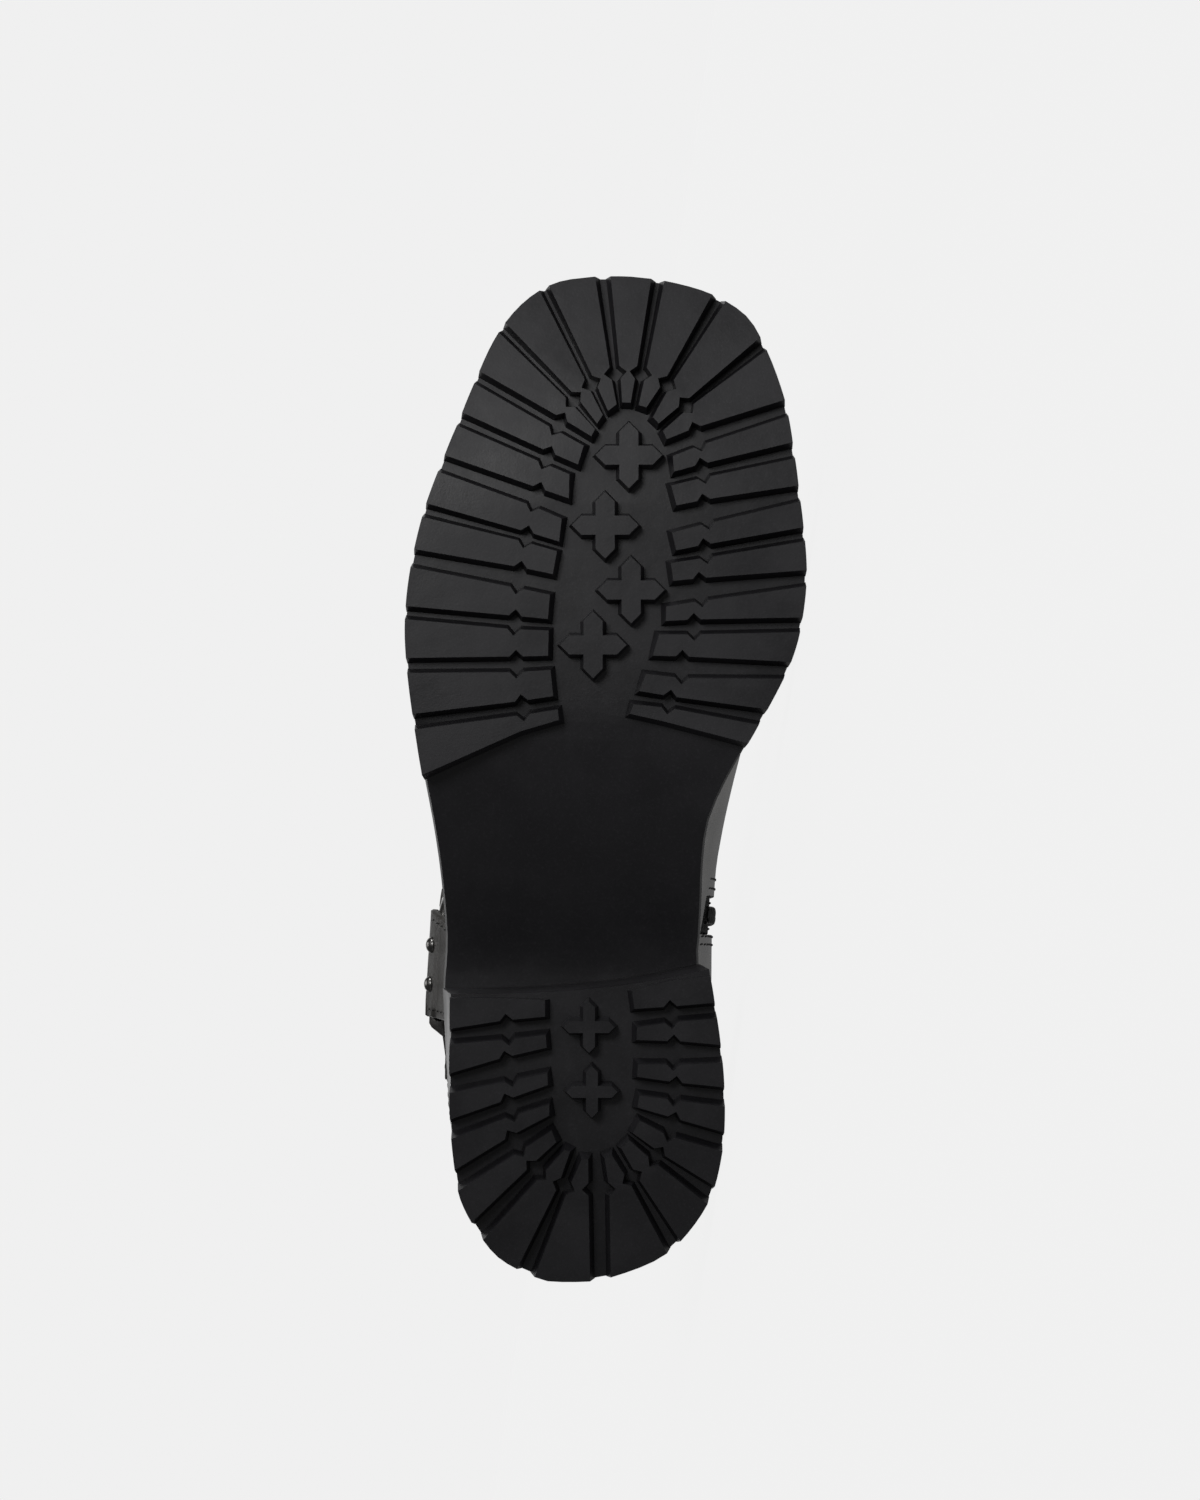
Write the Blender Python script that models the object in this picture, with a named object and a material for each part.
"""Motorcycle harness boot for the right foot, lying on its inner side.

The boot is drawn standing, in its own axes: X runs from the back of the heel (0) to the toe,
Y points to the inner side of the foot and Z up from the ground. One empty, boot_axes, then
lays it down: the tread looks along -Y, the toe points to +X, and the inner edge of the sole
and the inner side of the collar rest on the plane Z = 0. Tables and constants are in
millimetres and degrees; meshes are in metres.
"""
import math
from collections import namedtuple

import bmesh
import bpy
import numpy as np
from mathutils import Matrix, Vector
from mathutils.bvhtree import BVHTree

MM = 0.001
GAP = 0.3                    # air between two pieces that touch
SEAT_GAP = 0.5               # the same where one of them has long facets
WALL = 2.0                   # thickness of the leather
LUG_DEPTH = 5.0              # from the tread down to the floor of the grooves
LUG_FOOT, LUG_ROOT = 0.4, 2.5              # how far a lug's lean and its root run into the body
LUG_DRAFT, CROSS_DRAFT = 1.35, 1.0         # how far the walls of lugs and crosses lean out
DRAFT_SHARE = 0.8            # most of a narrow groove that its two walls take up
NECK_NICK = 1.8              # depth of the two nicks that part a lug from its inner block
SOLE_STEP = 0.15             # the lugs stand out from the side of the sole by this much
CROSS_REACH, CROSS_ARM = 9.1, 5.2
HEEL_CROSS_REACH, HEEL_CROSS_ARM = 7.0, 3.2
LEAST_BULGE = 0.06           # a lug's outer end is never quite straight
INSOLE_THICKNESS = 3.0
COLLAR_HEIGHT = 200.0

ZIP_SLOT = 11.0
ZIP_FOOT, ZIP_HEAD = (98.4, 37.0), (87.0, 203.0)   # along, up
CHAIN_WIDTH = 5.6
PULL_LENGTH, PULL_WIDTH = 21.0, 6.4
PULL_REST_ANGLE = 10.0       # the pull hangs away from the leather by this much
SLIDER_UP = 186.0

RING_RADIUS, RING_WIRE = 18.2, 1.8
RING_AT = (82.6, 86.0)       # along, up
RING_OUT = (0.062, -1.0, 0.06)    # the way that it faces
RING_STANDOFF = 5.0          # from the leather to the middle of the wire
RING_COVER = 1.2             # leather over the wire
STRAP_OFF = 0.8              # a strap's under face stands this far off the leather
STRAP_THICKNESS = 1.8
FOLD_THICKNESS = 2.6         # where the strap's end is folded back and stitched
EYE_WIDTH, STAY_EYE_WIDTH = 17.0, 21.0     # of the folds at the ring
FRONT_STRAP_WIDTH, REAR_STRAP_WIDTH = 20.0, 20.0
STAY_TOP_WIDTH, STAY_FOOT_WIDTH = 31.6, 25.3
STAY_LIFT = 4.3              # at its top the stay stands this much further off the leather
STAY_FOOT_ALONG, STAY_FOOT_UP = 79.1, 2.2  # middle of its foot, and how high above the sole
FRONT_STRAP_RISE = 33.0      # angle of the front strap above the level
STUD_RADIUS, STUD_HEIGHT, STUD_SPACING = 2.3, 1.5, 11.6


def table(text):
    """Read a small table whose first line names its columns."""
    lines = [line.split() for line in text.strip().splitlines()]
    rows = np.array([[float(word) for word in line] for line in lines[1:]])
    return dict(zip(lines[0], rows.T))


# Height of the tread, of the sole's underside between the lugs, and of its top.
PROFILE = table("""
    along  ground  under   top
      0      0.0    31.0   39.5
     84      0.0    28.4   35.4
     95      0.0    26.0   32.6
    110      0.0    20.4   26.8
    125      0.0    13.9   21.3
    138      0.0     9.0   17.6
    150      0.0     5.8   15.6
    165      0.0     5.0   15.0
    205      0.0     5.0   15.0
    222      0.6     5.6   15.6
    240      2.3     7.3   17.2
    258      5.2    10.2   20.0
    276      9.2    14.2   23.8
""")

# Outline of the outsole seen from below: outer and inner side of the foot.
SOLE_EDGE = table("""
    along  outer  inner
      0.0  -12.0   -5.0
      1.0  -17.0    2.0
      5.5  -27.0   14.5
     11.5  -33.2   22.4
     22.0  -39.2   30.0
     33.0  -41.4   33.2
     44.0  -42.6   34.6
     60.0  -43.6   34.0
     77.0  -44.3   31.4
     85.0  -43.8   27.8
     93.0  -43.4   28.1
    104.0  -44.0   28.5
    115.0  -45.0   28.8
    126.0  -46.5   30.3
    137.0  -48.4   34.9
    148.0  -50.2   41.0
    159.0  -51.8   47.2
    170.0  -53.0   52.5
    181.0  -53.3   55.3
    195.0  -51.8   56.5
    213.0  -47.4   54.8
    235.0  -38.8   51.9
    246.0  -34.4   49.2
    257.0  -29.6   44.9
    265.0  -24.4   40.0
    271.0  -18.1   30.6
    274.6  -10.8   18.4
    276.0   -0.6    7.6
""")

# Outline of the heel at the ground; its front runs askew, so each side has its own length.
HEEL_EDGE = table("""
    outer_along  outer  inner_along  inner
        0.0      -12.0      0.0      -5.0
        0.8      -16.5      0.8       1.5
        5.5      -26.2      5.5      14.5
       11.5      -32.0     11.5      22.4
       22.0      -38.0     22.0      29.8
       33.0      -40.0     33.0      33.0
       44.0      -41.0     44.0      34.1
       56.0      -41.2     58.0      33.7
       66.0      -41.1     72.0      32.0
       77.6      -41.0     84.4      30.0
""")

# Grooves from the outer rear of the forefoot round the toe to the inner rear: where each leaves
# the edge, where the nicks of the lugs beside it are, and a point that it heads for inwards.
# edge_w, neck_w and tip_w are its widths at the edge, at the nicks and at the inner end. The two
# block lengths belong to the lug after the groove, from its nicks to its inner corners.
FORE_GROOVES = table("""
    edge_x  edge_y  neck_x  neck_y   end_x   end_y  edge_w  neck_w   tip_w  block_a  block_b
     139.0   -47.4   150.4   -21.8   153.5   -11.3     0.0     0.0     0.0     11.0      9.5
     153.1   -50.3   156.8   -21.2   158.2   -12.1     4.3     3.9     3.8      8.8      9.3
     168.4   -52.3   168.7   -22.9   169.1   -13.8     4.1     4.3     3.9      8.8      9.4
     182.8   -52.7   180.1   -23.3   179.5   -14.1     3.6     3.7     3.1      9.0      9.3
     197.7   -51.1   192.4   -22.2   190.5   -13.3     5.0     5.7     5.7      8.9      9.2
     210.8   -47.8   203.5   -20.2   200.9   -11.4     3.9     2.9     2.7      9.0      8.7
     223.6   -43.2   214.4   -17.5   211.3    -9.6     4.9     5.2     5.9      8.5      7.5
     235.8   -38.2   225.2   -14.6   222.0    -7.2     3.9     3.5     3.4      8.6      9.0
     247.4   -33.6   234.5   -11.4   229.8    -3.4     3.7     3.7     3.3      9.5     10.1
     260.5   -26.0   241.3    -7.3   233.9    -1.1     3.2     2.3     1.4      9.3      9.3
     272.3   -15.2   245.8    -2.4   237.5     1.5     3.0     2.3     1.8      8.9      8.7
     275.8     0.8   248.7     4.2   240.2     5.3     4.3     2.7     1.6      8.4      8.6
     274.6    15.9   248.6    11.2   240.1     9.5     3.7     2.7     2.3      8.8      8.6
     269.6    32.6   245.7    18.4   237.8    13.6     4.1     2.2     2.9     10.0      9.0
     256.9    44.9   239.7    23.6   233.6    16.6     3.9     2.1     2.3      9.5      8.0
     238.8    50.6   231.0    26.6   228.0    19.1     4.6     5.0     4.9      8.2      7.7
     227.2    52.9   221.6    28.1   219.5    19.9     4.5     3.8     3.5      9.4      7.4
     215.4    54.5   210.4    28.9   208.4    20.3     4.4     6.5     7.0     10.3      7.8
     204.2    55.7   199.6    28.8   198.1    20.1     3.9     3.6     3.2      9.9      7.1
     192.2    56.2   189.1    27.5   188.0    19.1     4.4     6.2     6.7      9.9      7.7
     179.5    54.9   178.9    25.7   178.7    17.1     4.0     4.1     3.6      9.6      8.2
     167.1    50.8   167.9    22.4   168.6    13.5     4.7     5.9     5.1      9.7      8.5
     154.3    44.3   158.4    18.9   159.6    10.0     4.6     3.3     3.8      9.6      9.5
     147.4    39.4   153.1    17.5   155.2     8.2     0.0     0.0     0.0      0.0      0.0
""")

# The heel's grooves, from its inner front round the back to its outer front.
HEEL_GROOVES = table("""
    edge_x  edge_y  neck_x  neck_y   end_x   end_y  edge_w  neck_w   tip_w  block_a  block_b
      83.4    29.8    82.3    19.0    79.6     8.7     0.0     0.0     0.0     10.6      9.8
      74.1    31.2    73.1    19.4    72.1     9.8     4.3     4.3     5.0      9.6     10.2
      62.3    32.9    62.6    20.1    62.8    10.1     4.9     6.4     6.6      9.7     10.8
      50.6    33.5    52.1    20.5    53.5    10.4     5.2     4.9     5.0      9.5     10.7
      38.3    33.5    42.3    19.6    45.9    10.5     5.1     5.1     3.1      8.8      9.1
      23.7    30.4    34.2    15.4    39.7     8.5     5.1     3.1     2.1      8.7      8.3
      10.1    19.8    28.5     8.8    35.6     4.5     4.8     2.7     3.2      8.2      8.4
       1.4     0.1    25.3    -0.3    33.7    -1.0     5.7     5.7     4.5      8.4      8.6
       3.6   -19.8    26.1    -9.9    34.6    -6.6     5.2     3.0     3.7      9.5      9.4
      13.9   -33.5    30.5   -17.4    37.2   -10.8     5.6     4.0     3.0      9.3     10.3
      28.0   -38.8    37.8   -23.1    43.4   -13.6     5.3     5.0     3.8     11.8     10.6
      41.8   -40.6    47.6   -24.7    51.2   -14.0     5.1     4.7     5.1     11.9     10.1
      54.3   -40.9    58.2   -25.0    60.5   -14.5     5.2     6.6     6.9     11.4     10.3
      67.0   -40.9    68.9   -25.3    70.0   -14.9     4.3     5.2     5.0     10.6     10.7
      77.6   -41.0    77.5   -25.7    77.0   -15.0     0.0     0.0     0.0      0.0      0.0
""")

# end_flare is 1 where the first and last lug lean out as the others do; ground and floor give the
# height of the tread and of the floor of the grooves at a length along the boot.
Tread = namedtuple("Tread", "grooves end_flare ring ground floor")

FORE_CROSSES = ((225.9, 7.9), (206.7, 1.4), (189.0, 8.5), (174.0, -1.9))
HEEL_CROSSES = ((69.6, -3.0), (51.9, -2.2))

# Sections of the last from the toe over the instep to the collar. Each lies in a plane through
# a low point (on the sole, then on the back of the heel) and a high point (on the vamp, then on
# the front of the shaft). outer and inner are its widest places, widest is how far up they lie,
# and the two powers say how square its lower and upper halves are.
LAST = table("""
    low_x  low_z  high_x  high_z  outer  inner  widest  low_power  high_power
    269.4   17.0   270.0    31.0    1.0    9.5    0.40      3.0       2.2
    268.6   15.5   269.2    36.0   -7.5   19.5    0.38      3.6       2.3
    265.5   14.0   266.0    42.5  -16.0   29.0    0.36      4.2       2.4
    260.0   12.8   260.0    48.0  -21.5   35.6    0.34      4.6       2.4
    250.0   11.5   250.0    53.6  -28.0   42.2    0.32      4.8       2.4
    236.0    9.9   236.0    59.0  -34.4   46.8    0.30      4.8       2.4
    220.0    9.0   220.0    64.4  -40.6   49.6    0.30      4.6       2.3
    203.0    9.0   203.0    71.2  -46.4   51.8    0.30      4.6       2.2
    186.0    9.0   186.5    79.4  -48.8   51.0    0.32      4.4       2.1
    168.0    9.2   171.5    88.4  -48.4   46.6    0.35      4.0       2.1
    148.0   10.2   157.5    97.4  -47.0   41.5    0.38      3.6       2.1
    128.0   13.6   145.5   106.0  -45.6   37.2    0.40      3.3       2.1
    106.0   20.0   136.0   113.4  -44.2   34.0    0.42      3.2       2.1
     82.0   27.2   128.6   119.6  -42.9   32.9    0.42      3.2       2.1
     55.0   30.0   122.6   125.4  -42.3   32.8    0.42      3.1       2.1
     30.0   30.0   118.2   130.8  -42.1   32.9    0.42      2.9       2.1
     12.0   34.0   115.2   136.2  -42.4   32.0    0.43      2.6       2.1
      3.6   46.0   113.2   142.0  -42.8   31.5    0.44      2.4       2.1
      2.4   62.0   111.8   148.4  -43.4   31.3    0.45      2.2       2.1
      4.2   82.0   110.9   155.6  -44.0   31.4    0.46      2.1       2.1
      9.6  128.0   110.6   172.4  -45.4   32.4    0.48      2.1       2.1
      9.0  176.0   111.9   191.2  -46.8   34.8    0.50      2.1       2.1
      8.0  200.0   112.6   200.0  -47.4   36.4    0.50      2.1       2.1
""")
LAST_STEPS = 2               # rings of the mesh for each row of the table, but the toe's
LAST_POINTS = 28             # points round each ring


# ---------------------------------------------------------------- curves and outlines

def spline(values, steps):
    """Catmull-Rom through the rows of a column, with steps points to each row."""
    values = np.asarray(values, float)
    ends = np.concatenate([[2 * values[0] - values[1]], values, [2 * values[-1] - values[-2]]])
    out = []
    for i in range(len(values) - 1):
        a, b, c, d = ends[i:i + 4]
        for t in np.arange(steps) / steps:
            out.append(0.5 * (2 * b + (c - a) * t + (2 * a - 5 * b + 4 * c - d) * t ** 2
                              + (3 * b - a - 3 * c + d) * t ** 3))
    return np.array(out + [values[-1]])


def height(column, along):
    """Height of one line of the side profile: straight along the heel, a curve before it."""
    fine_x, fine_z = (np.append(PROFILE[name][0], spline(PROFILE[name][1:], 8))
                      for name in ("along", column))
    return np.interp(along, fine_x, fine_z)


def closed_outline(outer_x, outer_y, inner_x, inner_y, steps):
    """Outline as one ring: along the outer side to the toe, and back along the inner one."""
    outer = np.column_stack([spline(outer_x, steps), spline(outer_y, steps)])
    inner = np.column_stack([spline(inner_x, steps), spline(inner_y, steps)])
    return np.vstack([outer, inner[::-1]])


def inset(ring, distance):
    """Move a ring's points inwards; distance is one number or one for each point."""
    tangent = np.roll(ring, -1, axis=0) - np.roll(ring, 1, axis=0)
    tangent /= np.linalg.norm(tangent, axis=1)[:, None]
    inward = np.column_stack([-tangent[:, 1], tangent[:, 0]])
    return ring + inward * np.broadcast_to(distance, len(ring))[:, None]


def sole_ring(steps=2):
    return closed_outline(SOLE_EDGE["along"], SOLE_EDGE["outer"],
                          SOLE_EDGE["along"], SOLE_EDGE["inner"], steps)


def heel_ring(steps=2):
    return closed_outline(HEEL_EDGE["outer_along"], HEEL_EDGE["outer"],
                          HEEL_EDGE["inner_along"], HEEL_EDGE["inner"], steps)


def breast(ring_end_outer, ring_end_inner, count=5):
    """Points of the heel's curved front, from its outer to its inner corner."""
    turn = np.linspace(0, 1, count + 2)[1:-1]
    y = ring_end_outer[1] + (ring_end_inner[1] - ring_end_outer[1]) * turn
    rise = (ring_end_inner[0] - ring_end_outer[0]) * turn ** 2.6
    return np.column_stack([ring_end_outer[0] + rise, y])


# ---------------------------------------------------------------- meshes

def material(name, colour, roughness, metallic=0.0):
    made = bpy.data.materials.new(name)
    made.use_nodes = True
    shader = made.node_tree.nodes["Principled BSDF"]
    shader.inputs["Base Color"].default_value = (*colour, 1.0)
    shader.inputs["Roughness"].default_value = roughness
    shader.inputs["Metallic"].default_value = metallic
    return made


def add_object(name, bm, surface, origin=(0, 0, 0), crease=35.0):
    """Turn a mesh in millimetres into a named object of the boot, with its faces outwards."""
    bm.normal_update()
    bmesh.ops.recalc_face_normals(bm, faces=bm.faces)
    bmesh.ops.translate(bm, verts=bm.verts, vec=-Vector(origin))
    bmesh.ops.scale(bm, verts=bm.verts, vec=(MM, MM, MM))
    mesh = bpy.data.meshes.new(name)
    bm.to_mesh(mesh)
    bm.free()
    mesh.shade_smooth()
    mesh.set_sharp_from_angle(angle=math.radians(crease))
    mesh.materials.append(surface)
    made = bpy.data.objects.new(name, mesh)
    bpy.context.scene.collection.objects.link(made)
    made.location = Vector(origin) * MM
    made.parent = bpy.data.objects["boot_axes"]
    return made


def add_tread(target, name, tread, crosses, reach, arm, surface):
    """Fuse all lugs and crosses of one tread with the body that carries them."""
    bm = bmesh.new()
    for row in range(len(tread.grooves["edge_x"]) - 1):
        add_lug(bm, tread, row)
    for centre in crosses:
        add_cross(bm, tread, centre, reach, arm)
    boolean(target, add_cutter(name, bm, surface), 'UNION')


def add_cutter(name, bm, surface):
    made = add_object(name, bm, surface)
    made.hide_render = True
    made.display_type = 'WIRE'
    return made


def boolean(target, tool, operation):
    change = target.modifiers.new(tool.name, 'BOOLEAN')
    change.operation = operation
    change.solver = 'EXACT'
    change.object = tool


def loft(bm, rings, low_cap, high_cap):
    """Join rings of points by walls. A cap is 'flat', 'pairs' for a sole, or None."""
    layers = [[bm.verts.new(point) for point in ring] for ring in rings]
    count = len(layers[0])
    for low, high in zip(layers, layers[1:]):
        for i in range(count):
            j = (i + 1) % count
            bm.faces.new((low[i], low[j], high[j], high[i]))
    for layer, cap in ((layers[0], low_cap), (layers[-1], high_cap)):
        if cap == 'flat':
            bm.faces.new(layer)
        if cap == 'pairs':
            for i in range(count // 2 - 1):
                bm.faces.new((layer[i], layer[i + 1], layer[count - 2 - i], layer[count - 1 - i]))
    return layers


def lifted(ring, z):
    return np.column_stack([ring, np.broadcast_to(z, len(ring))])


# ---------------------------------------------------------------- lugs and crosses

def meet_edge(start, towards, ring):
    """Where a line from start, going towards a point, leaves the outline."""
    along = towards - start
    best = None
    for a, b in zip(ring, np.roll(ring, -1, axis=0)):
        side = b - a
        cross = along[0] * side[1] - along[1] * side[0]
        if abs(cross) < 1e-9:
            continue
        gap = a - start
        t = (gap[0] * side[1] - gap[1] * side[0]) / cross
        s = (gap[0] * along[1] - gap[1] * along[0]) / cross
        if t > 0 and -1e-6 <= s <= 1 + 1e-6 and (best is None or t < best):
            best = t
    return start + along * best


def groove_side(tread, row, side, spread, block):
    """One side of a groove: its points at the edge, round the nick and at the inner end."""
    grooves = tread.grooves
    edge, neck, end = (np.array([grooves[p + "_x"][row], grooves[p + "_y"][row]])
                       for p in ("edge", "neck", "end"))
    body = (neck - edge) / np.linalg.norm(neck - edge)
    inner = (end - neck) / np.linalg.norm(end - neck)
    across_body, across_inner = (side * np.array([v[1], -v[0]]) for v in (body, inner))
    halves = (grooves[p + "_w"][row] / 2 for p in ("edge", "neck", "tip"))
    edge_half, neck_half, tip_half = (half - min(spread, DRAFT_SHARE * half) for half in halves)
    nick_depth = NECK_NICK
    if grooves["neck_w"][row] == 0:
        edge_half = neck_half = tip_half = -spread * tread.end_flare
        nick_depth = 0.0
    at_neck = neck + across_body * neck_half
    tip = neck + inner * (block + spread) + across_inner * tip_half
    after = at_neck + (tip - at_neck) / np.linalg.norm(tip - at_neck) * NECK_NICK
    return [meet_edge(at_neck, edge + across_body * edge_half, tread.ring),
            at_neck - body * NECK_NICK, at_neck + across_body * nick_depth, after, tip]


def lug_outline(tread, row, spread):
    """Both sides of the lug between two grooves, and three points of its outer end."""
    side_a = groove_side(tread, row, 1, spread, tread.grooves["block_a"][row])
    side_b = groove_side(tread, row + 1, -1, spread, tread.grooves["block_b"][row])
    end = []
    for share in (0.25, 0.5, 0.75):
        chord = side_a[0] + (side_b[0] - side_a[0]) * share
        inside = side_a[1] + (side_b[1] - side_a[1]) * share
        outward = (chord - inside) / np.linalg.norm(chord - inside)
        bulge = np.dot(meet_edge(inside, chord, tread.ring) - chord, outward)
        end.append(chord + outward * max(bulge, LEAST_BULGE * 4 * share * (1 - share)))
    return side_a, side_b, end


def lean(tread, draft):
    """From the ground to the root: how far the walls have leant out, and the height there."""
    return ((0.0, tread.ground), (draft, lambda x: tread.floor(x) + LUG_FOOT),
            (draft, lambda x: tread.floor(x) + LUG_ROOT))


def add_lug(bm, tread, row):
    """One lug as a block whose walls lean out down to the body, and then run on to its root."""
    rings = []
    for spread, z in lean(tread, LUG_DRAFT):
        side_a, side_b, end = lug_outline(tread, row, spread)
        outline = [end[1], end[0]] + side_a + side_b[::-1] + [end[2]]
        rings.append([(*point, z(point[0])) for point in outline])
    for layer in loft(bm, rings, None, None)[::2]:
        bm.faces.new((layer[0], layer[1], layer[-1]))
        for i in range(1, len(layer) // 2):
            bm.faces.new((layer[i], layer[i + 1], layer[-i - 1], layer[-i]))


def add_cross(bm, tread, centre, reach, arm):
    """A cross whose four arms end in points, on the plane that touches the tread there."""
    slope = (tread.ground(centre[0] + reach) - tread.ground(centre[0] - reach)) / (2 * reach)
    rings = []
    for spread, z in lean(tread, CROSS_DRAFT):
        half = arm / 2 + spread
        tip = reach + spread
        ring = []
        for quarter in range(4):
            turn = Matrix.Rotation(math.radians(90 * quarter), 2)
            for x, y in ((half, -half), (tip - half, -half), (tip, 0), (tip - half, half)):
                point = turn @ Vector((x, y))
                ring.append((centre[0] + point.x, centre[1] + point.y,
                             z(centre[0]) + slope * point.x))
        rings.append(ring)
    loft(bm, rings, 'flat', 'flat')


# ---------------------------------------------------------------- sole and heel

def make_outsole(rubber):
    """Rubber unit: a stepped plate from heel seat to toe, and the lugs of the forefoot."""
    ring = sole_ring()
    under, top = height("under", ring[:, 0]), height("top", ring[:, 0])
    lug_zone = np.clip((ring[:, 0] - 142) / 12, 0, 1)
    # part of the height, inset at the lugs, inset elsewhere
    side = ((0.0, SOLE_STEP, 0.6), (0.34, SOLE_STEP, 0.0), (0.40, 1.1, 0.9), (0.54, 1.1, 0.9),
            (0.60, SOLE_STEP, 0.0), (0.94, SOLE_STEP, 0.0), (1.0, 0.8, 0.6))
    bm = bmesh.new()
    rings = [lifted(inset(ring, at_lugs * lug_zone + plain * (1 - lug_zone)),
                    under + part * (top - under)) for part, at_lugs, plain in side]
    loft(bm, rings, 'pairs', 'pairs')
    sole = add_object("outsole", bm, rubber)

    tread = Tread(FORE_GROOVES, 1.0, sole_ring(4), lambda x: height("ground", x),
                  lambda x: height("under", x))
    add_tread(sole, "forefoot_lugs", tread, FORE_CROSSES, CROSS_REACH, CROSS_ARM, rubber)


def make_heel(rubber):
    """Rubber heel block with a slanted front, its lugs and two small crosses."""
    ground_ring, half = heel_ring(), len(heel_ring()) // 2
    seat_x = ground_ring[:, 0]
    seat_outer = np.interp(seat_x, SOLE_EDGE["along"], SOLE_EDGE["outer"])
    seat_inner = np.interp(seat_x, SOLE_EDGE["along"], SOLE_EDGE["inner"])
    seat_y = np.where(np.arange(len(ground_ring)) < half, seat_outer, seat_inner)
    seat_ring = np.column_stack([seat_x, seat_y])
    bm = bmesh.new()
    rings = []
    # from the floor of the grooves up to the sole, where the outline meets the sole's own edge
    for share, outline in ((0.0, ground_ring), (1.0, seat_ring)):
        ring = inset(outline, SOLE_STEP)
        ring[half - 1], ring[half] = ring[half - 1] + (0.8, 0), ring[half] + (0.8, 0)
        ring = np.vstack([ring[:half], breast(ring[half - 1], ring[half]), ring[half:]])
        top = height("under", ring[:, 0]) - SEAT_GAP
        rings.append(lifted(ring, LUG_DEPTH + share * (top - LUG_DEPTH)))
    loft(bm, rings, 'flat', 'flat')
    heel = add_object("heel", bm, rubber)

    tread = Tread(HEEL_GROOVES, 0.0, heel_ring(4), lambda x: 0.0, lambda x: LUG_DEPTH)
    add_tread(heel, "heel_lugs", tread, HEEL_CROSSES, HEEL_CROSS_REACH, HEEL_CROSS_ARM, rubber)


# ---------------------------------------------------------------- upper

def resting_line():
    """The plane the boot lies on, seen from below: its slant, and its distance from the origin.
    It touches the sole's inner edge at the heel and at the ball."""
    ring = sole_ring(8)
    parts = ring[ring[:, 0] < 100], ring[ring[:, 0] > 150]
    lean = 0.0
    for _ in range(8):
        heel, ball = (part[np.argmax(part[:, 1] * math.cos(lean) - part[:, 0] * math.sin(lean))]
                      for part in parts)
        lean = math.atan2(ball[1] - heel[1], ball[0] - heel[0])
    return lean, heel[1] * math.cos(lean) - heel[0] * math.sin(lean)


def collar_inner_side():
    """How wide the collar's inner side is, so that it too reaches the plane the boot lies on."""
    lean, floor = resting_line()
    low, high = LAST["low_x"][-1], LAST["high_x"][-1]
    turn = 2 * np.pi * np.arange(LAST_POINTS) / LAST_POINTS
    power = LAST["high_power"][-1]
    up = np.where(np.cos(turn) > 0, (1 - np.abs(np.cos(turn)) ** (2 / power)) / 2,
                  (1 + np.abs(np.cos(turn)) ** (2 / power)) / 2)
    share = np.abs(np.sin(turn)) ** (2 / power)
    x = low + (high - low) * up
    y = (floor + x * math.sin(lean)) / math.cos(lean)
    outer = LAST["outer"][-1]
    # the ridge lies midway between the two sides, so y = outer/2 + inner/2 + (inner-outer)/2*share
    inner = (y - outer * (1 - share) / 2) / ((1 + share) / 2)
    return inner[share > 0.5].min()


def last_ring(row, points=LAST_POINTS):
    """One closed section of the last, as points in space."""
    turn = 2 * np.pi * np.arange(points) / points
    c, s = np.cos(turn), np.sin(turn)
    power = np.where(c > 0, row["low_power"], row["high_power"])
    up = np.where(c > 0, row["widest"] * (1 - np.abs(c) ** (2 / power)),
                  row["widest"] + (1 - row["widest"]) * np.abs(c) ** (2 / power))
    ridge = (row["outer"] + row["inner"]) / 2
    side = np.abs(s) ** (2 / power)
    y = ridge + np.where(s < 0, (row["outer"] - ridge) * side, (row["inner"] - ridge) * side)
    x = row["low_x"] + (row["high_x"] - row["low_x"]) * up
    z = row["low_z"] + (row["high_z"] - row["low_z"]) * up
    return np.column_stack([x, y, z])


def last_rings():
    """All sections of the last, smoothly stepped from the table's rows."""
    rows = dict(LAST)
    shaft = np.clip((LAST["low_z"] - 95) / (COLLAR_HEIGHT - 95), 0, 1)
    rows["inner"] = LAST["inner"] + (collar_inner_side() - LAST["inner"][-1]) * shaft ** 1.5
    fine = {name: spline(column, LAST_STEPS) for name, column in rows.items()}
    count = len(fine["low_x"])
    return [last_ring({name: column[i] for name, column in fine.items()}) for i in range(count)]


def last_surface(rings, depth=0.0):
    """The last's rings, moved inwards by a depth along the surface's own normals."""
    bm = bmesh.new()
    layers = loft(bm, rings, 'flat', None)
    bm.normal_update()
    bmesh.ops.recalc_face_normals(bm, faces=bm.faces)
    probe = layers[len(layers) // 2][LAST_POINTS // 4]
    outward = 1 if probe.normal.y * (probe.co.y + 5) > 0 else -1
    moved = []
    for k, layer in enumerate(layers):
        ring = []
        for vertex in layer:
            normal = vertex.normal * outward
            if k == len(layers) - 1:
                normal = Vector((normal.x, normal.y, 0)).normalized()
            ring.append(vertex.co - normal * depth)
        moved.append(np.array(ring))
    bm.free()
    return moved


def slab(low, high, half_width):
    """Block between two heights that follow the sole, far wider than the boot."""
    x = np.linspace(-20, 300, 49)
    ring = np.vstack([np.column_stack([x, -half_width + 0 * x]),
                      np.column_stack([x[::-1], half_width + 0 * x])])
    bm = bmesh.new()
    loft(bm, [lifted(ring, low(ring[:, 0])), lifted(ring, high(ring[:, 0]))], 'pairs', 'pairs')
    return bm


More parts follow.
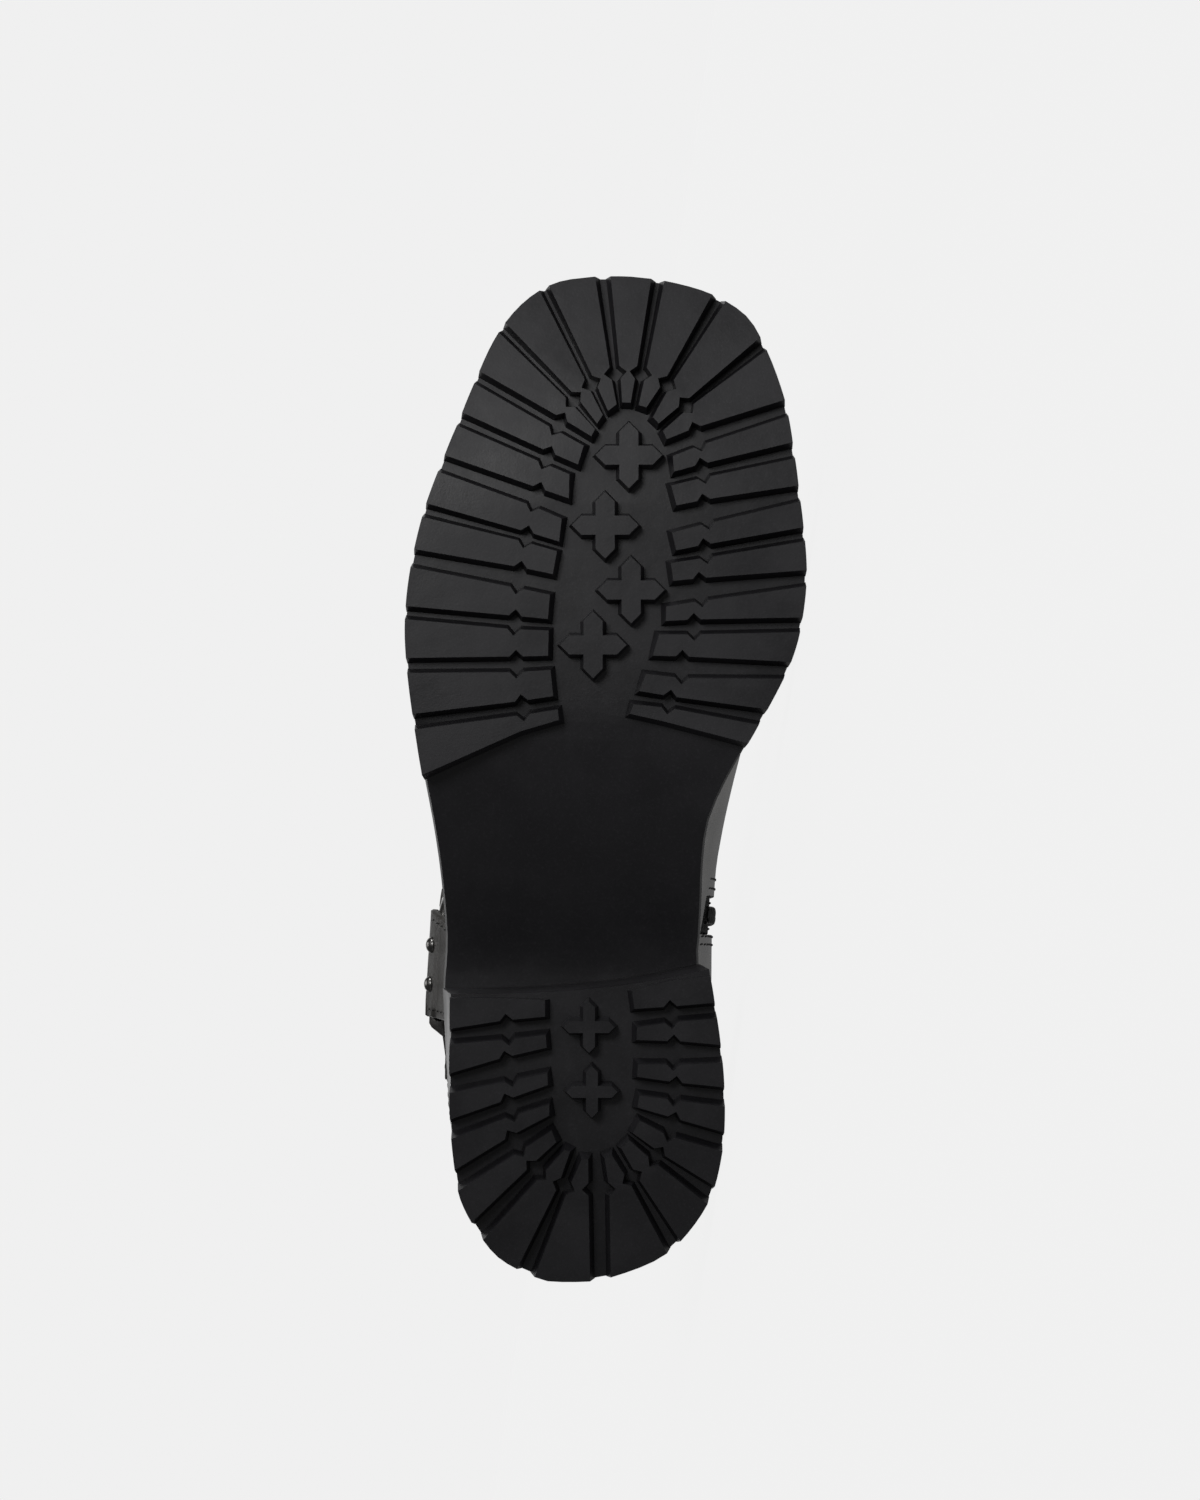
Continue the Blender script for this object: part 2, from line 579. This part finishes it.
def make_upper(leather, rings):
    """Leather wall between two lasts, cut open along the sole and down the zip."""
    inside = last_surface(rings[::2], WALL)
    bm = bmesh.new()
    outer_layers = loft(bm, rings, 'flat', None)
    inner_layers = loft(bm, inside, 'flat', None)
    rim_out, rim_in = outer_layers[-1], inner_layers[-1]
    for i in range(len(rim_out)):
        j = (i + 1) % len(rim_out)
        bm.faces.new((rim_out[i], rim_out[j], rim_in[j], rim_in[i]))
    upper = add_object("upper", bm, leather)
    below = slab(lambda x: -20 + 0 * x, lambda x: height("top", np.clip(x, 0, 276)) + SEAT_GAP, 90)
    boolean(upper, add_cutter("sole_plane", below, leather), 'DIFFERENCE')
    return upper


def make_insole(board, rings):
    """Footbed: the slice of the room inside the upper that lies on the sole."""
    bm = bmesh.new()
    inside = last_surface(rings[::2], WALL + SEAT_GAP)
    loft(bm, inside, 'flat', 'flat')
    top = lambda x: height("top", np.clip(x, 0, 276))
    insole = add_object("insole", slab(lambda x: top(x) + SEAT_GAP,
                                       lambda x: top(x) + SEAT_GAP + INSOLE_THICKNESS, 90), board)
    boolean(insole, add_cutter("room_inside", bm, board), 'INTERSECT')
    return insole


# ---------------------------------------------------------------- bands on the upper

def outer_tree(rings):
    bm = bmesh.new()
    loft(bm, rings, 'flat', None)
    bm.normal_update()
    bmesh.ops.recalc_face_normals(bm, faces=bm.faces)
    tree = BVHTree.FromBMesh(bm)
    bm.free()
    return tree


def hit(tree, start, direction):
    """Point of the leather met from outside, going along a direction."""
    place = tree.ray_cast(Vector(start), Vector(direction).normalized())[0]
    return np.array(place)


def band(bm, path, normals, half_width, low, high, across=2, tree=None, hug_from=0):
    """Flat strip along a path. Its under and upper faces stand low and high off the path. With a
    tree, each of its lengthwise lines lies on the leather from one row on, and the rows before
    that keep clear of it."""
    path, normals = np.asarray(path, float), np.asarray(normals, float)
    count = len(path)
    half_width, low, high = (np.broadcast_to(v, count) for v in (half_width, low, high))
    run = np.gradient(path, axis=0)
    rings = []
    for i in range(count):
        normal = normals[i] / np.linalg.norm(normals[i])
        side = np.cross(normal, run[i])
        side /= np.linalg.norm(side)
        under, upper = [], []
        for share in np.linspace(-1, 1, across):
            point = path[i] + side * share * half_width[i]
            rise = 0.0
            if tree is not None:
                place = tree.ray_cast(Vector(point + normal * 25), Vector(-normal))[0]
                rise = float(np.dot(np.array(place) - point, normal))
            if i < hug_from:
                under.append(point + normal * max(low[i], rise + STRAP_OFF))
                upper.append(point + normal * high[i])
            else:
                under.append(point + normal * (rise + low[i]))
                upper.append(point + normal * (rise + high[i]))
        rings.append(under + upper[::-1])
    loft(bm, rings, 'flat', 'flat')


def surface_path(tree, starts, directions):
    """Points of the leather met by rays from outside."""
    return np.array([hit(tree, start, direction) for start, direction in zip(starts, directions)])


def zip_line(tree, low_z, high_z, count):
    """Middle line of the zip on the inner side, and its outward normals."""
    z = np.linspace(low_z, high_z, count)
    share = (z - ZIP_FOOT[1]) / (ZIP_HEAD[1] - ZIP_FOOT[1])
    x = ZIP_FOOT[0] + (ZIP_HEAD[0] - ZIP_FOOT[0]) * share
    up = np.minimum(z, COLLAR_HEIGHT - 0.5)
    points = surface_path(tree, [(a, 120, b) for a, b in zip(x, up)], [(0, -1, 0)] * count)
    ahead = surface_path(tree, [(a + 6, 120, b) for a, b in zip(x, up)], [(0, -1, 0)] * count)
    behind = surface_path(tree, [(a - 6, 120, b) for a, b in zip(x, up)], [(0, -1, 0)] * count)
    points[:, 2] = z
    normals = np.cross(np.gradient(points, axis=0) + (0, 0, 1e-9), behind - ahead)
    normals *= np.sign(normals[:, 1])[:, None]
    return points, normals / np.linalg.norm(normals, axis=1)[:, None]


def make_zip(tree, upper, leather, cloth, metal):
    """Slot in the upper, woven tape, coil, slider and hinged pull."""
    path, normals = zip_line(tree, ZIP_FOOT[1], COLLAR_HEIGHT + 6, 14)
    bm = bmesh.new()
    band(bm, path, normals, ZIP_SLOT / 2, -8, 8)
    boolean(upper, add_cutter("zip_slot", bm, leather), 'DIFFERENCE')

    path, normals = zip_line(tree, ZIP_FOOT[1] + GAP, COLLAR_HEIGHT - 2, 14)
    bm = bmesh.new()
    band(bm, path, normals, ZIP_SLOT / 2 - SEAT_GAP, -2.4, -1.3)
    add_object("zip_tape", bm, cloth)
    bm = bmesh.new()
    path, normals = zip_line(tree, ZIP_FOOT[1] + 3, COLLAR_HEIGHT - 5, 14)
    band(bm, path, normals, CHAIN_WIDTH / 2, -0.4, 0.9, 4)
    add_object("zip_chain", bm, metal)

    spot, normal = zip_line(tree, SLIDER_UP - 6, SLIDER_UP + 6, 5)
    at, out = Vector(spot[2]), Vector(normal[2])
    down = Vector(spot[0] - spot[4]).normalized()
    side = down.cross(out).normalized()
    frame = Matrix((down, side, out)).transposed().to_4x4()
    frame.translation = at
    bm = bmesh.new()
    outline = ((-6, 2.6), (-4, 4.4), (3, 3.6), (6.5, 2.6), (6.5, -2.6), (3, -3.6), (-4, -4.4), (-6, -2.6))
    loft(bm, [[frame @ Vector((x * 0.92, y * 0.92, 1.2)) for x, y in outline],
              [frame @ Vector((x, y, 1.5)) for x, y in outline],
              [frame @ Vector((x, y, 2.3)) for x, y in outline],
              [frame @ Vector((x * 0.88, y * 0.84, 2.8)) for x, y in outline]], 'flat', 'flat')
    slider = add_object("zip_slider", bm, metal)
    # bridge on the slider, through which the bar of the pull passes
    bridge = ((-4.2, 2.2), (-3.4, 5.2), (-2.2, 6.1), (1.6, 6.1), (2.8, 5.2), (3.6, 2.2),
              (2.0, 2.2), (1.5, 4.4), (0.9, 4.95), (-1.5, 4.95), (-2.1, 4.4), (-2.6, 2.2))
    bm = bmesh.new()
    loft(bm, [[frame @ Vector((x, y, z)) for x, z in bridge] for y in (-1.1, 1.1)], 'flat', 'flat')
    boolean(slider, add_cutter("slider_bridge", bm, metal), 'UNION')

    # the pull: a bar in the bridge, two short arms and the tab
    hinge = frame @ Vector((-0.3, 0, 3.88))
    turn = Matrix.Rotation(math.radians(PULL_REST_ANGLE), 4, side)
    pose = Matrix.Translation(hinge) @ turn @ Matrix.Translation(-at) @ frame
    half = PULL_WIDTH / 2
    bm = bmesh.new()
    tab = ((-0.45, half - 0.6), (0.2, half), (PULL_LENGTH - 2.5, half), (PULL_LENGTH, half - 2.5),
           (PULL_LENGTH, 2.5 - half), (PULL_LENGTH - 2.5, -half), (0.2, -half), (-0.45, 0.6 - half))
    window = ((0.45, 1.7), (0.55, 1.8), (5.4, 1.8), (6.0, 1.2), (6.0, -1.2), (5.4, -1.8),
              (0.55, -1.8), (0.45, -1.7))
    layers = []
    for z in (-0.45, 0.45):
        outer = [bm.verts.new(pose @ Vector((x, y, z))) for x, y in tab]
        inner = [bm.verts.new(pose @ Vector((x, y, z))) for x, y in window]
        layers.append((outer, inner))
    count = len(tab)
    (low_out, low_in), (high_out, high_in) = layers
    for i in range(count):
        j = (i + 1) % count
        bm.faces.new((low_out[i], low_out[j], high_out[j], high_out[i]))
        bm.faces.new((low_in[i], low_in[j], high_in[j], high_in[i]))
        bm.faces.new((low_out[i], low_out[j], low_in[j], low_in[i]))
        bm.faces.new((high_out[i], high_out[j], high_in[j], high_in[i]))
    add_object("zip_pull", bm, metal, origin=hinge)


# ---------------------------------------------------------------- harness

def make_ring(metal, centre, out):
    bm = bmesh.new()
    across = out.orthogonal().normalized()
    turned = Matrix((out, across, out.cross(across))).transposed().to_4x4()
    turned.translation = centre + across * RING_RADIUS
    bmesh.ops.create_circle(bm, radius=RING_WIRE, segments=8, matrix=turned)
    bmesh.ops.spin(bm, geom=bm.verts[:] + bm.edges[:], cent=centre, axis=out,
                   angle=2 * math.pi, steps=28, use_merge=True)
    add_object("harness_ring", bm, metal, origin=centre, crease=60.0)


def wrap(tree, centre, forward, angles):
    """Course round the boot, from its outer to its inner side: rays towards a centre."""
    starts, directions = [], []
    for angle in np.radians(angles):
        away = math.cos(angle) * Vector(forward).normalized() + math.sin(angle) * Vector((0, 1, 0))
        starts.append(Vector(centre) + away * 150)
        directions.append(-away)
    return surface_path(tree, starts, directions)


def soft_normals(tree, points):
    """Outward normals of the leather at some points, evened out along their course."""
    normals = np.array([tree.find_nearest(Vector(point))[1] for point in points])
    for _ in range(3):
        padded = np.vstack([normals[:1], normals, normals[-1:]])
        normals = (padded[:-2] + 2 * padded[1:-1] + padded[2:]) / 4
    return normals / np.linalg.norm(normals, axis=1)[:, None]


def make_strap(name, leather, tree, centre, out, course, widths, eye_width, fold, lift=0.0):
    """Strap that folds round the ring's wire and then follows a course on the leather. fold has
    its thickness for each row. With a lift it stands off the leather there, flat and stiff."""
    away = Vector(course[0]) - centre
    away = (away - out * away.dot(out)).normalized()
    base = centre - out * RING_STANDOFF
    half = eye_width / 2
    inner = math.sqrt(RING_RADIUS ** 2 - (half + 0.5) ** 2) - RING_WIRE - GAP
    top = RING_STANDOFF + RING_WIRE + RING_COVER
    low_end, high_end = STRAP_OFF + lift, STRAP_OFF + lift + fold[0] + 0.3
    # from the ring's middle; under face and upper face above the leather; half width
    eye = ((inner - 2.4, 4.4, top - 2.4, half - 0.5), (inner - 1.6, 3.2, top - 0.6, half - 0.2),
           (inner - 0.4, 2.5, top, half), (RING_RADIUS + 0.9, 2.3, top, half + 0.3),
           (RING_RADIUS + 2.6, (2.3 + low_end) / 2, 0.6 * top + 0.4 * high_end, half + 0.6),
           (RING_RADIUS + 4.4, low_end, high_end, half + 0.9))
    path = [np.array(base + away * row[0]) for row in eye] + list(course)
    normals = [np.array(out)] * len(eye)
    normals += [np.array(out)] * len(course) if lift else list(soft_normals(tree, course))
    low = [row[1] for row in eye] + [STRAP_OFF] * len(course)
    high = [row[2] for row in eye] + [STRAP_OFF + thickness for thickness in fold]
    halves = [row[3] for row in eye] + list(np.broadcast_to(widths, len(course)) / 2)
    bm = bmesh.new()
    band(bm, path, normals, halves, low, high, across=4, tree=tree,
         hug_from=len(path) if lift else len(eye))
    strap = add_object(name, bm, leather)

    # the slot that the wire passes through
    side = out.cross(away).normalized()
    radius = RING_WIRE + GAP
    outer = RING_RADIUS + radius
    outline = []
    for turn in np.radians(np.arange(0, 360, 36)):
        middle = outer - radius if math.cos(turn) > 0 else inner + radius
        outline.append((middle + radius * 1.06 * math.cos(turn), radius * 1.06 * math.sin(turn)))
    bm = bmesh.new()
    loft(bm, [[centre + away * u + out * n + side * reach for u, n in outline]
              for reach in (-14.0, 14.0)], 'flat', 'flat')
    boolean(strap, add_cutter(name + "_eye", bm, leather), 'DIFFERENCE')


def make_harness(tree, leather, metal):
    """Ring on the outer ankle, its three straps, and two studs on the short one."""
    out = Vector(RING_OUT).normalized()
    centre = Vector(hit(tree, (RING_AT[0], -120, RING_AT[1]), (0, 1, 0))) + out * RING_STANDOFF
    make_ring(metal, centre, out)
    rise = math.radians(FRONT_STRAP_RISE)
    forward = Vector((math.cos(rise), 0, math.sin(rise)))
    spine = Vector((RING_AT[0], -5, RING_AT[1])) + forward * 21
    course = wrap(tree, spine, forward, np.linspace(-79, 70, 20))
    make_strap("front_strap", leather, tree, centre, out, course, FRONT_STRAP_WIDTH,
               EYE_WIDTH, [FOLD_THICKNESS] * 2 + [STRAP_THICKNESS] * 18)
    spine = Vector((RING_AT[0] - 19, -5, RING_AT[1]))
    course = wrap(tree, spine, (-1, 0, -0.05), np.linspace(-76, 80, 19))
    make_strap("rear_strap", leather, tree, centre, out, course, REAR_STRAP_WIDTH,
               EYE_WIDTH, [FOLD_THICKNESS] + [STRAP_THICKNESS] * 18)

    # the stay runs straight from the ring down to the sole, where its foot lies on the leather
    down = (Vector((0, 0, -1)) + out * out.z).normalized()
    head = centre + down * (RING_RADIUS + 5.4) - out * (RING_STANDOFF - STAY_LIFT)
    foot_up = height("top", STAY_FOOT_ALONG) + STAY_FOOT_UP
    foot = Vector(hit(tree, (STAY_FOOT_ALONG, -120, foot_up), (0, 1, 0))) + out * 0.9
    shares = np.array([0.0, 0.10, 0.20, 0.23, 0.6, 0.8, 1.0])
    course = [np.array(head.lerp(foot, share)) for share in shares]
    make_strap("stay_strap", leather, tree, centre, out, course,
               STAY_TOP_WIDTH + (STAY_FOOT_WIDTH - STAY_TOP_WIDTH) * shares,
               STAY_EYE_WIDTH, [FOLD_THICKNESS] * 3 + [STRAP_THICKNESS] * 4, STAY_LIFT)

    # studs stand on the fold, side by side
    along = out.cross(foot - head).normalized()
    face = (foot - head).cross(along).normalized()
    for name, share in (("stud_front", 0.5), ("stud_rear", -0.5)):
        place = Vector(course[1]) + along * STUD_SPACING * share
        seat = place + out * (STRAP_OFF + FOLD_THICKNESS) + face * GAP
        profile = ((0.0, STUD_HEIGHT), (0.45, 0.94 * STUD_HEIGHT), (0.78, 0.66 * STUD_HEIGHT),
                   (0.95, 0.22 * STUD_HEIGHT), (1.0, 0.0), (0.0, 0.0))
        bm = bmesh.new()
        line = [bm.verts.new(seat + along * r * STUD_RADIUS + face * h) for r, h in profile]
        for a, b in zip(line, line[1:]):
            bm.edges.new((a, b))
        bmesh.ops.spin(bm, geom=bm.verts[:] + bm.edges[:], cent=seat, axis=face,
                       angle=2 * math.pi, steps=14, use_merge=True)
        bmesh.ops.remove_doubles(bm, verts=bm.verts, dist=0.001)
        add_object(name, bm, metal)


def clear_scene():
    for old in list(bpy.data.objects):
        bpy.data.objects.remove(old, do_unlink=True)


def lay_down():
    """Turn and shift boot_axes so that the boot lies on its inner side, centred on Z = 0."""
    lean, _ = resting_line()
    toe = Vector((math.cos(lean), 0, math.sin(lean)))
    inner = Vector((math.sin(lean), 0, -math.cos(lean)))
    up = Vector((0, 1, 0))
    axes = bpy.data.objects["boot_axes"]
    axes.matrix_world = Matrix((toe, inner, up)).transposed().to_4x4()
    bpy.context.view_layer.update()
    graph = bpy.context.evaluated_depsgraph_get()
    corners = []
    for piece in bpy.data.objects:
        if piece.type == 'MESH' and not piece.hide_render:
            mesh = piece.evaluated_get(graph).to_mesh()
            corners += [piece.matrix_world @ v.co for v in mesh.vertices]
    low = [min(c[i] for c in corners) for i in range(3)]
    high = [max(c[i] for c in corners) for i in range(3)]
    shift = Vector(((low[0] + high[0]) / 2, (low[1] + high[1]) / 2, low[2]))
    axes.matrix_world = Matrix.Translation(-shift) @ axes.matrix_world


def main():
    clear_scene()
    axes = bpy.data.objects.new("boot_axes", None)
    bpy.context.scene.collection.objects.link(axes)
    rubber = material("rubber", (0.018, 0.018, 0.020), 0.55)
    leather = material("leather", (0.022, 0.021, 0.022), 0.45)
    board = material("footbed", (0.12, 0.10, 0.085), 0.8)
    cloth = material("zip_cloth", (0.02, 0.02, 0.022), 0.85)
    metal = material("dark_metal", (0.30, 0.31, 0.34), 0.25, 1.0)
    make_outsole(rubber)
    make_heel(rubber)
    rings = last_rings()
    upper = make_upper(leather, rings)
    make_insole(board, rings)
    tree = outer_tree(rings)
    make_zip(tree, upper, leather, cloth, metal)
    make_harness(tree, leather, metal)
    lay_down()


main()
